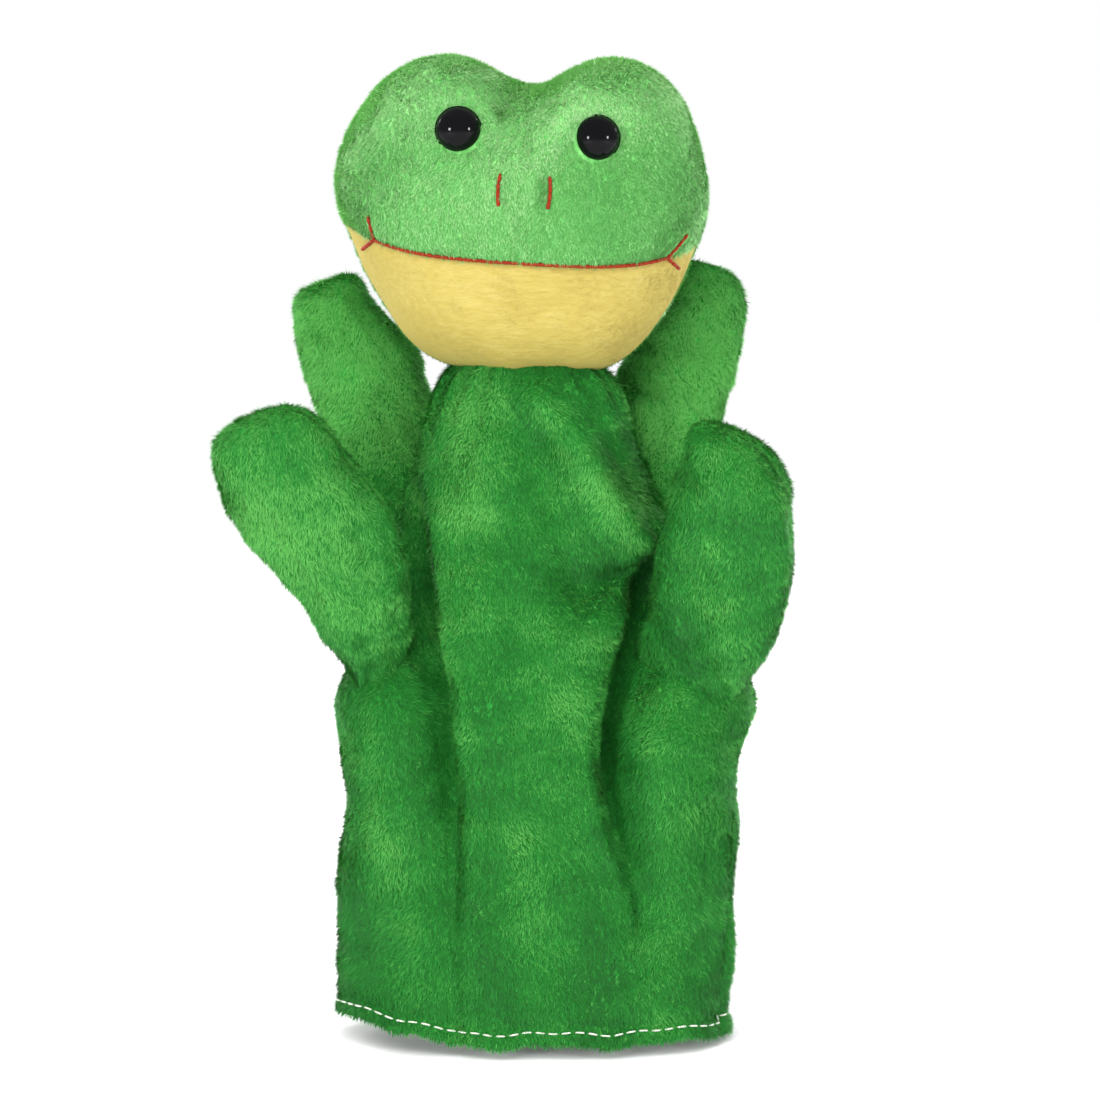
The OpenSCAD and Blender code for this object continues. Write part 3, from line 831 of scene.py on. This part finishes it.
def makeEyes():
    # Each eye is a profile turned about its axis: post with ribs, underside, rim and dome.
    for name in ("eye_right", "eye_left"):
        low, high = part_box(name)
        front, back = low[1] / mm, high[1] / mm
        seat = front + eye["domeHeight"]
        bow = np.linspace(np.pi / 2, 0, 26)
        domeR = eye["domeRadius"] * np.cos(bow)
        domeY = seat - eye["domeHeight"] * np.sin(bow)
        postLength = back - seat - eye["rimHeight"]
        down = np.linspace(0, 1, 6 * eye["ribs"])
        postR = eye["postRadius"] - eye["ribDepth"] * (np.sin(down * eye["ribs"] * 2 * np.pi) > 0)
        under = seat + eye["rimHeight"]
        radius = np.r_[domeR, eye["rimRadius"], eye["rimRadius"], postR, 1.2, 0]
        depth = np.r_[domeY, seat + 0.1, under, under + down * postLength, back, back]
        turn = np.linspace(0, 2 * np.pi, 56, endpoint=False)
        middle = boxMiddle(name) / mm
        points = np.stack([middle[0] + radius[:, None] * np.cos(turn), depth[:, None] + 0 * turn,
                           middle[2] + radius[:, None] * np.sin(turn)], -1) * mm
        faces = gridFaces(*points.shape[:2], wrap=True)[:, ::-1]
        piece = newObject(name + "_moulding", points.reshape(-1, 3), faces, [eyeBlack])
        weld(piece)
        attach(piece, "head")
        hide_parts(name)
        frame["nodes"][name.replace("eye", "eye_washer")].material_slots[0].material = washerWhite
    frame["nodes"]["finger_pocket"].material_slots[0].material = pocketWeave
    print("eyes made")


stuffing = dict(inset=3.5, insetFront=6.5, insetBack=3.5, lumps=0.5, tunnelGap=0.6, tunnelBelow=40)


def makeFilling():
    # The head's form drawn in from its covers, with a tunnel cut for the finger pocket.
    angle = np.linspace(0, 2 * np.pi, 120, endpoint=False)[None]
    share = np.sin(np.linspace(0, np.pi / 2, 44))[:, None]
    reach = outline(angle) - stuffing["inset"]
    x, z = reach * np.cos(angle) * share, reach * np.sin(angle) * share
    full = np.sqrt(np.maximum(1 - share ** 2.5, 0)) + 0 * angle
    lump = stuffing["lumps"] * drift(np.stack([x, z, x + z], -1), 22, 7)
    front = headPlace(x, head["seamY"] - (head["depthFront"] - stuffing["insetFront"] + lump) * full, z)
    back = headPlace(x, head["seamY"] + (head["depthBack"] - stuffing["insetBack"] + lump) * full, z)
    points = np.concatenate([front, back[::-1]])
    faces = gridFaces(*points.shape[:2], wrap=True)
    filling = newObject("head_filling", points.reshape(-1, 3), faces, [fibre])
    weld(filling)
    low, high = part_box("finger_pocket")
    gap = stuffing["tunnelGap"] * mm
    length = high[2] - low[2] + stuffing["tunnelBelow"] * mm
    bpy.ops.mesh.primitive_cylinder_add(vertices=48, radius=(high[0] - low[0]) / 2 + gap, depth=length)
    tunnel = bpy.context.object
    tunnel.location = (0, 0, high[2] + gap - length / 2)
    cut = filling.modifiers.new("tunnel", "BOOLEAN")
    cut.operation, cut.object, cut.solver = "DIFFERENCE", tunnel, "EXACT"
    bpy.context.view_layer.update()
    graph = bpy.context.evaluated_depsgraph_get()
    done = bpy.data.meshes.new_from_object(filling.evaluated_get(graph))
    filling.modifiers.clear()
    filling.data = done
    bpy.data.objects.remove(tunnel)
    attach(filling, "head")
    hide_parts("head_stuffing")
    print("filling made")


glove = dict(
    heights=[1.2, 12, 30, 50, 70, 86, 96, 105, 115, 126, 138, 150, 162, 174, 184, 190, 198],
    halfWidths=[54.0, 54.0, 54.4, 54.6, 53.6, 55.6, 57.2, 53.5, 46.5, 41.5, 38.6, 34.8, 30.6, 27.4, 23.4,
                17.8, 15.0],
    halfDepths=[27, 27, 26.5, 26, 25, 24, 23, 22, 21, 20, 19.5, 19, 18, 16.4, 14.6, 12.8, 11.8],
    middles=[3.0, 3.0, 3.4, 4.0, 5.0, 5.6, 5.8, 5.8, 5.2, 4.6, 4.0, 2.4, 1.8, 1.6, 1.4, 1.0, 0.4],
    squareness=2.35,
    hemLine=6.8,
    wrinkles=[((33, 141), (5, 178), 4.2, -5.6), ((40, 133), (16, 130), 5.5, 8.5),
              ((36, 127), (22, 106), 3.4, 3.4), ((2, 172), (12, 140), 5.0, 3.2),
              ((22, 168), (33, 148), 2.5, 1.4)],  # start, end, width and depth; a ridge's depth is below 0
    # painted shade in the chest's hollows and a painted highlight on its ridge: start, end, width and how
    # much darker; below 0 is lighter
    paintedShadeAndHighlight=[((40, 130), (17, 127), 6.5, 0.34), ((33, 142), (9, 174), 4.5, -0.24),
            ((4, 168), (14, 141), 5.0, 0.16)],
    pileSplit=0.42,  # the share of the rows under the lower pile
    pileTop=6,  # the pile ends this far above the nod pivot
    seamRows=204,
    leanLength=20,  # a length in mm
)
gloveMiddle = np.array([0, 0, 0.1])


def gloveOval(z):
    # half the width, half the depth and the middle at a height
    return [through(z, glove["heights"], glove[part]) for part in ("halfWidths", "halfDepths", "middles")]


def gloveSection(z, angle):
    # A point of the glove: a rounded oval of the height's width and depth; angle 0 is the left side seam,
    # and the back lies between 0 and pi.
    half, deep, middle = gloveOval(z)
    power = 2 / glove["squareness"]
    cos, sin = np.cos(angle), np.sin(angle)
    x = middle + half * np.sign(cos) * np.abs(cos) ** power
    y = deep * np.sign(sin) * np.abs(sin) ** power
    return np.stack([x, y, z + 0 * angle], -1)


def fold(gap, inner, outer):
    # the side view of a fold: a sharp edge on one side, a long slope on the other
    return np.exp(-(gap / np.where(gap > 0, inner, outer)) ** 2)


def frontRelief(x, z):
    # The folds of the front, in mm towards the front: two long creases on either side of the middle,
    # and wrinkles that run together at the left armpit.
    left = through(z, [0, 13, 84, 98, 117, 145, 165, 200],
                   [-17, -17.5, -18.8, -20.2, -24.2, -28.5, -30, -34])
    right = through(z, [0, 29, 40, 51, 68, 82, 104, 120, 137, 160],
                    [33, 32, 31, 28, 23, 21.1, 24, 31, 38.5, 48])
    deepLeft = 1.8 + 12.5 * bell(z, 112, 36) * ease(162, 142, z)
    deepRight = 16.5 * bell(z, 98, 34) * ease(150, 136, z) * ease(22, 48, z)
    slope = 7.5 + 9 * bell(z, 126, 16)  # between arm and leg the side cloth stays far back
    relief = -deepLeft * fold(x - left + 1.0, 2.2, slope) - deepRight * fold(right + 1.5 - x, 2.6, slope)
    relief = relief + 2.6 * bell(x, 0, 15) * bell(z, 105, 40)
    relief = relief + 4.6 * bell(x, 42, 10) * bell(z, 78, 22) + 3.4 * bell(x, -37, 9) * bell(z, 82, 22)
    pit = (38.5, 137)
    across, up = pit[0] - x, z - pit[1]
    away, turn = np.hypot(across, up), np.arctan2(up, across)
    pull = np.exp(-away / 15) * (1 - np.exp(-away / 3)) * ease(-5, 1, across)
    relief = relief + 1.9 * np.cos(10 * turn + 0.6) * pull
    for wrinkle in glove["wrinkles"]:
        relief = relief + crease(x, z, *wrinkle)
    for height, strength in ((64, 1.0), (75, 1.3), (88, 1.1)):
        relief = relief + strength * bell(z - height - 0.10 * (x - 50), 0, 2.6) * bell(x, 49, 7)
    relief = relief - 2.4 * bell(x - 0.25 * (z - 40), -36, 7) * bell(z, 40, 22)
    relief = relief + 1.1 * bell(x, -40, 7) * bell(z, 62, 10)
    return relief


def backRelief(x, z):
    # softer, longer folds down the back
    relief = 1.5 * np.cos((x + 0.12 * z) / 9.0) * bell(z, 70, 45)
    relief = relief - 3.0 * fold(x + 20 - 0.08 * (z - 90), 2.5, 8.0) * bell(z, 95, 30)
    return relief - 3.0 * fold(18 + 0.06 * (z - 90) - x, 2.5, 8.0) * bell(z, 95, 30)


def sideSeam(z):
    # the left seam turns to the front low down, so that the back panel shows at that side
    return -0.30 * ease(118, 70, z)


def hemRise(points, z):
    # the hem stands up a little in front, and more at the right side, fading out up the glove
    front = ease(12, -18, points[..., 1])
    aside = ease(-16, -50, points[..., 0])
    return (2.6 * front + 5.4 * aside) * ease(58, 1.2, z)


def glovePanel(isFront, rows=240, columns=190):
    # Half of the glove: sections from the hem up to the neck, moved along their normals by the folds, the
    # gathers under the head, the seams at both edges, the hem's stitch line and soft noise.
    z = np.linspace(glove["heights"][0], glove["heights"][-1], rows)[:, None]
    share = np.linspace(0, 1, columns)[None]
    turn = sideSeam(z)
    angle = np.pi + (np.pi + turn) * share if isFront else turn + (np.pi - turn) * share
    points = gloveSection(z, angle)
    outward = outwardOf(points * mm, gloveMiddle)
    flat = np.abs(outward[..., 1])
    relief = (frontRelief if isFront else backRelief)(points[..., 0], z) * ease(0.05, 0.6, flat)
    gathers = 0.5 * np.cos(angle * 17 + 1.3 * np.sin(angle * 3)) * ease(160, 186, z)
    edge = np.minimum(share, 1 - share) * 150
    seam = -1.3 * bell(edge, 0, 1.8)
    hem = -0.7 * bell(z, glove["hemLine"], 1.1) + 0.6 * bell(z, 2, 3)
    soft = 0.5 * drift(points, 24, 5) + 0.16 * drift(points, 9, 6)
    points = points + outward * (relief + gathers + seam + hem + soft)[..., None]
    ripple = 0.7 * np.sin(points[..., 0] / 5.2) + 0.5 * np.sin(points[..., 0] / 2.3 + 1)
    points[..., 2] += ripple * ease(12, 1.2, z) * 0.8 + 0.2 * ease(12, 1.2, z) + hemRise(points, z)
    return points * mm


def gloveToneAndPaintedLight(root):
    # Darker towards the hem, and a little lighter below the neck. In front a painted highlight runs along
    # the ridge from the neck to the left armpit, and painted shade lies in the hollows beside it.
    x, z = root[:, 0] / mm, root[:, 2] / mm
    # painted shade and highlight along the chest's creases, on the front only
    folds = sum(crease(x, z, *shade) for shade in glove["paintedShadeAndHighlight"])
    return 0.08 * bell(z, 160, 16) - 0.16 * ease(105, 30, z) + folds * (root[:, 1] < 0)


def makeGlove():
    # the front and back panels with their pile, then the stitches of the hem and seams
    for isFront, word in ((True, "front"), (False, "back")):
        points = glovePanel(isFront)
        normals = outwardOf(points, gloveMiddle)
        panel = sheetOf("glove_%s_cloth" % word, points, [bodyCloth, backing], normals)
        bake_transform(panel)
        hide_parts("torso_" + word, "neck_" + word)
        declareSheet(points)
        rows = points.shape[0]
        half = int(rows * glove["pileSplit"])
        hidden = headPivot[2] + glove["pileTop"] * mm
        for level, (low, high) in (("lower", (0, half + 1)), ("upper", (half, rows))):
            skin = [(points[low:high], normals[low:high])]
            pile = growPile("glove_%s_%s_pile" % (word, level), skin, pileLooks["body"], bodyPile,
                            100 + 20 * isFront + 5 * (level == "upper"), lambda root: root[:, 2] > hidden,
                            gloveToneAndPaintedLight)
            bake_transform(pile)
    hem = gloveStitchPath()
    thread = stitchRun("hem_stitches", hem[0], hem[1], sewing["hem"], paleThread)
    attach(thread, "torso")
    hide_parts("hem_thread")
    makeGloveSeams()
    print("glove made")


def gloveStitchPath():
    # the hem's stitch line: the row of each panel nearest to the line's height, joined round
    paths, outs = [], []
    for isFront in (True, False):
        points = glovePanel(isFront)
        normals = outwardOf(points, gloveMiddle)
        row = np.abs(points[:, points.shape[1] // 2, 2] - glove["hemLine"] * mm).argmin()
        paths.append(points[row])
        outs.append(normals[row])
    return np.concatenate([paths[0], paths[1]]), np.concatenate([outs[0], outs[1]])


def makeGloveSeams():
    # hidden stitches up the front panel's two side edges, and a gathered ring at the nod pivot's height
    points = glovePanel(True)
    normals = outwardOf(points, gloveMiddle)
    rows = slice(0, glove["seamRows"], 2)
    sides = [(points[rows, c], normals[rows, c]) for c in (0, -1)]
    runs = [stitchRun("side_seam", path, out, sewing["inner"], greenThread) for path, out in sides]
    seam = joinAs("side_seam_stitches", runs)
    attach(seam, "torso")
    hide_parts("torso_seam_thread")
    angle = np.linspace(0, 2 * np.pi, 160)
    ring = gloveSection(np.array(headPivot[2] / mm), angle) * mm
    gather = stitchRun("neck_gather_stitches", ring, ring - ring.mean(0), sewing["inner"], greenThread)
    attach(gather, "neck")
    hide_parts("neck_thread")


# the pile of each limb is painted lighter towards its tip, a painted highlight whose strength is set for
# each limb
limbs = dict(
    right_leg=dict(
        side=-1, lean=26, twist=0, pitch=18, thick=11, tip=(77.0, 7.0), blunt=0.62, paintedLight=0.28,
        sunk=(-8, 16), late=0, folds=[((-6, -4), (12, 8), 2.6, 1.8), ((4, 10), (14, 17), 2.0, 1.0)],
        along=[-12, 0, 12, 24, 36, 48, 58],
        low=[-8.2, -6.7, -4.2, -4.4, -6.5, -8.6, -9.4],
        high=[8.8, 14.3, 21.3, 27.2, 28.5, 27.8, 25.4]),
    left_leg=dict(
        side=1, lean=16, twist=-15, pitch=20, thick=11.5, tip=(69.0, -5.7), blunt=0.70, paintedLight=0.04,
        sunk=(-8, 17), late=0,
        folds=[((2, -9), (16, 3), 1.6, 1.3), ((-4, -6), (10, 8), 1.8, 1.4), ((-8, -1), (4, 13), 1.8, 1.2),
               ((14, -10), (24, -2), 2.0, 0.8)],
        along=[-12, 0, 12, 24, 36, 46, 54],
        low=[-11.2, -12.5, -13.5, -15.0, -15.6, -15.0, -14.0],
        high=[19.8, 21.4, 21.6, 22.0, 21.6, 19.9, 16.8]),
    right_arm=dict(
        side=-1, lean=18, twist=0, pitch=-17, thick=10.5, tip=(70.0, 0.3), blunt=0.45, paintedLight=0.80,
        sunk=(-8, 12), late=5, folds=[],
        along=[-10, 0, 12, 24, 36, 46, 56, 64],
        low=[-12, -12, -12, -12.4, -13.2, -13.4, -12.2, -11.0],
        high=[3.8, 5.8, 11.2, 17.6, 19.4, 19.0, 14.2, 10.4]),
    left_arm=dict(
        side=1, lean=16, twist=0, pitch=-19, thick=10.5, tip=(73.0, -2.7), blunt=0.50, paintedLight=0.95,
        sunk=(-8, 12), late=5, folds=[],
        along=[-10, 0, 12, 24, 36, 48, 62],
        low=[1.8, -1.2, -8.2, -15.6, -19.0, -17.4, -12.8],
        high=[13.0, 12.6, 12.0, 12.0, 12.2, 12.4, 11.4]),
)


def limbFrame(name):
    # the limb's root and its three directions: along it, across it towards +X, and towards its back
    it = limbs[name]
    lean, twist, pitch = (np.radians(v) for v in (it["side"] * it["lean"], it["twist"], it["pitch"]))
    aboutY = np.array([[np.cos(lean), 0, np.sin(lean)], [0, 1, 0], [-np.sin(lean), 0, np.cos(lean)]])
    aboutZ = np.array([[np.cos(twist), -np.sin(twist), 0], [np.sin(twist), np.cos(twist), 0], [0, 0, 1]])
    aboutX = np.array([[1, 0, 0], [0, np.cos(pitch), -np.sin(pitch)], [0, np.sin(pitch), np.cos(pitch)]])
    turn = aboutY @ aboutZ @ aboutX
    return pivot(name + "_swing"), turn[:, 2], turn[:, 0], turn[:, 1]


def gloveDepth(x, z, isFront):
    # y of the glove's front or back at a place between its sides: the oval's depth there and its relief
    half, deep, middle = gloveOval(z)
    aside = np.abs(x - middle) / half
    y = deep * (1 - aside ** glove["squareness"]) ** (1 / glove["squareness"])
    return -(y + frontRelief(x, z)) if isFront else y + backRelief(x, z)


def limbRelief(name, along, across, isFront):
    # creases where a limb bends out of the glove, in mm outwards, on its front only
    relief = 0 * along * across
    for line in limbs[name]["folds"] if isFront else []:
        relief = relief + crease(along, across, *line)
    return relief


def limbPanel(name, isFront, rows=90, columns=80):
    # Half of a limb: an oval section carried along it. Its two sides follow the curves low and high, and
    # the tip closes as a quarter turn whose bluntness is set by a power. The root is drawn into the glove.
    it = limbs[name]
    root, ahead, across, backwards = limbFrame(name)
    body = np.linspace(it["along"][0], it["along"][-1], rows * 2 // 3)
    close = np.linspace(0, np.pi / 2, rows - rows * 2 // 3 + 1)[1:]
    along = np.r_[body, it["along"][-1] + (it["tip"][0] - it["along"][-1]) * np.sin(close)]
    shrink = np.r_[np.ones_like(body), np.cos(close) ** it["blunt"]]
    low, high = through(along, it["along"], it["low"]), through(along, it["along"], it["high"])
    middle = (low + high) / 2
    reach = np.clip((along - it["along"][-1]) / (it["tip"][0] - it["along"][-1]), 0, 1)
    middle = middle + (it["tip"][1] - middle) * reach ** 2
    half = (high - low) / 2 * shrink
    thick = it["thick"] * np.r_[np.ones_like(body), np.cos(close) ** 0.8] * (1 - 0.12 * ease(20, 60, along))
    flare = 1 + 0.16 * np.exp(-((along + 4) / 11) ** 2)
    turn = (np.linspace(np.pi, 2 * np.pi, columns) if isFront else np.linspace(0, np.pi, columns))[None]
    cos, sin = np.cos(turn), np.sin(turn)
    s = middle[:, None] + (half * flare)[:, None] * np.sign(cos) * np.abs(cos) ** 0.85
    n = (thick * flare)[:, None] * np.sign(sin) * np.abs(sin) ** 0.85
    length = (along / np.cos(np.radians(it["pitch"])))[:, None] + 0 * turn
    local = (ahead * length[..., None] + across * s[..., None] + backwards * n[..., None]) * mm
    points = local + root
    core = root + ahead * mm * 30
    outward = outwardOf(points, core)
    edge = np.minimum(turn - turn.min(), turn.max() - turn) * 12
    seam = -1.2 * bell(edge, 0, 1.5) * np.r_[np.ones_like(body), np.cos(close) ** 0.3][:, None]
    soft = 0.45 * drift(points / mm, 19, 11 + len(name)) + 0.2 * drift(points / mm, 8, 12)
    push = seam + soft * shrink[:, None] + limbRelief(name, along[:, None], s, isFront)
    points = points + outward * (push * mm)[..., None]
    late = it["late"] * np.maximum(0, it["side"] * cos)  # the outer side leaves the glove further up
    free = ease(it["sunk"][0], it["sunk"][1], along[:, None] - late)
    z = points[..., 2] / mm
    gloveHalf, _, centre = gloveOval(z)
    x = centre + np.clip(points[..., 0] / mm - centre, -0.88 * gloveHalf, 0.88 * gloveHalf)
    y = gloveDepth(x, z, isFront)
    y = np.minimum(y + 4.5, 0.5) if isFront else np.maximum(y - 5.0, 1.5)
    y = y + (1.0 - y) * np.abs(cos) ** 6  # the two halves stay together at their seams
    sunk = np.stack([x, y, z], -1) * mm
    return sunk + (points - sunk) * free[..., None], core


def makeLimb(name, seed):
    # both halves of a limb with their pile; each blends from the glove to the limb across the pivot
    it = limbs[name]
    root, ahead = limbFrame(name)[:2]
    for isFront, word in ((True, "front"), (False, "back")):
        points, core = limbPanel(name, isFront)
        normals = outwardOf(points, core)
        panel = sheetOf("%s_%s_cloth" % (name, word), points, [bodyCloth, backing], normals)
        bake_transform(panel)
        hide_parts("%s_%s" % (name, word))
        declareSheet(points)
        # painted highlight: the pile gets lighter towards the limb's tip
        pile = growPile("%s_%s_pile" % (name, word), [(points, normals)], pileLooks["body"], bodyPile,
                        seed + isFront,
                        paintedLight=lambda at: it["paintedLight"] * ease(0, 40, (at - root) @ ahead / mm))
        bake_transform(pile)
        if isFront:
            edge = np.concatenate([points[8:, 0], points[-1:, 0], points[8:, -1][::-1]])
            out = np.concatenate([normals[8:, 0], normals[-2:-1, 0], normals[8:, -1][::-1]])
            thread = stitchRun(name + "_seam_stitches", edge, out, sewing["inner"], greenThread)
            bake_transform(thread)
            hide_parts(name + "_thread")
    print("limb", name, "made")


makeHead()
makeEmbroidery()
makeEyes()
makeFilling()
makeGlove()
for number, limb in enumerate(limbs):
    makeLimb(limb, 300 + 10 * number)

bpy.context.view_layer.update()
